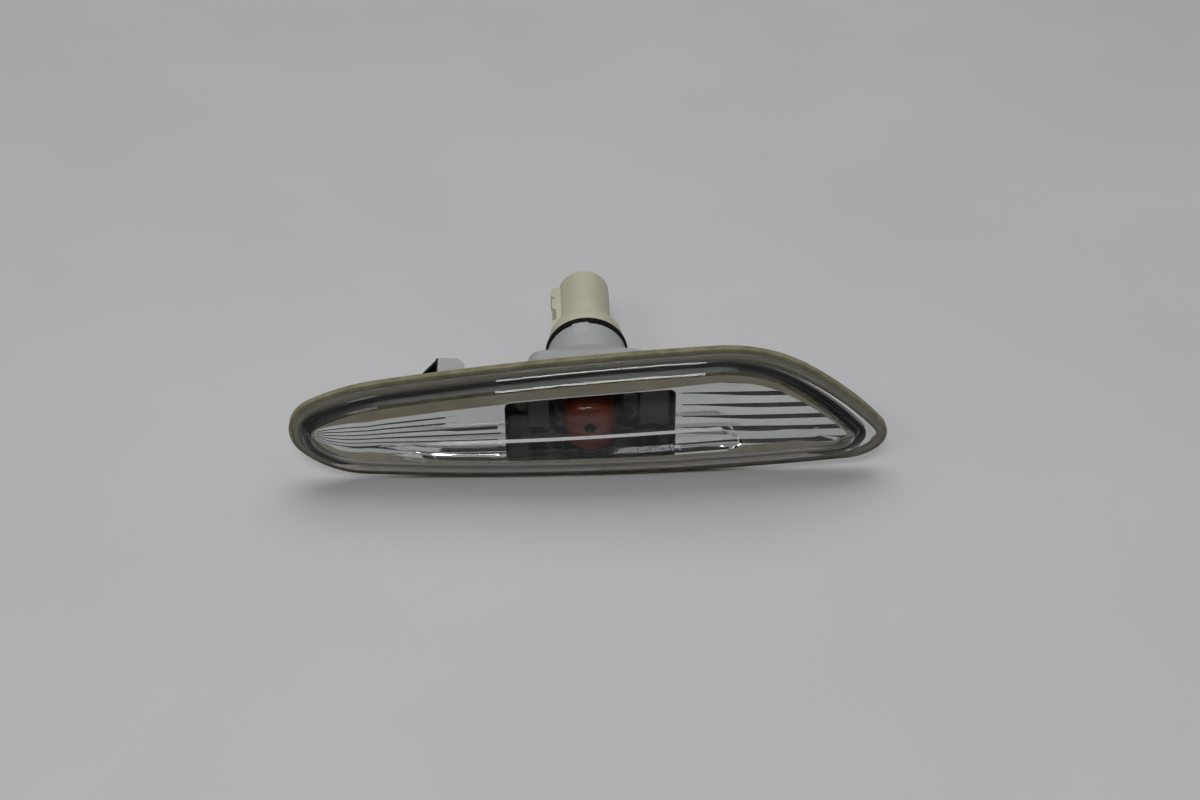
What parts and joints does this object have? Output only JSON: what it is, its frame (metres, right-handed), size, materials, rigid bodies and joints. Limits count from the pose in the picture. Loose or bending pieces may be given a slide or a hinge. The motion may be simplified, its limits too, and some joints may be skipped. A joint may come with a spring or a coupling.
{
  "type": "side repeater lamp",
  "caption": "Leaf-shaped clear side repeater lamp with fluted reflector, foam gasket, clip-in housing and a twist-in holder with an amber wedge bulb.",
  "frame": {"origin": "on the outer face of the car panel, which is the rear face of the foam gasket, at the axis of the bulb holder", "axes": "+X along the lamp towards its pointed end, +Y square to the panel and into the car, +Z the upper side of the picture, which the lens marks show to be the car's lower side"},
  "size_m": [0.14, 0.0627, 0.0353],
  "materials": {
    "clear_lens": "clear moulded plastic, polished",
    "metallised_insert": "vacuum-metallised plastic, bright",
    "foam_gasket": "closed-cell foam, matt olive",
    "grey_housing": "satin moulded plastic, light grey",
    "black_spring": "blackened spring steel",
    "cream_holder": "satin moulded plastic, cream",
    "black_rubber": "matt rubber, black",
    "contact_metal": "tinned brass strip",
    "amber_glass": "amber coated glass",
    "filament_wire": "dull tungsten wire",
    "lead_wire": "drawn nickel wire"
  },
  "bodies": {
    "lamp": {"lens": "clear_lens", "reflector": "metallised_insert", "gasket": "foam_gasket", "housing": "grey_housing", "retaining_spring": "black_spring"},
    "holder": {"bulb_holder": "cream_holder", "seal_ring": "black_rubber", "contact_left": "contact_metal", "contact_right": "contact_metal", "bulb_glass": "amber_glass", "filament": "filament_wire", "lead_wire_left": "lead_wire", "lead_wire_right": "lead_wire"}
  },
  "joints": [
    {"name": "holder_turn", "type": "hinge", "parent": "lamp", "child": "holder", "pos_m": [0, 0.0246, 0], "axis": [0, 1, 0], "range_deg": [0, 45]}
  ]
}
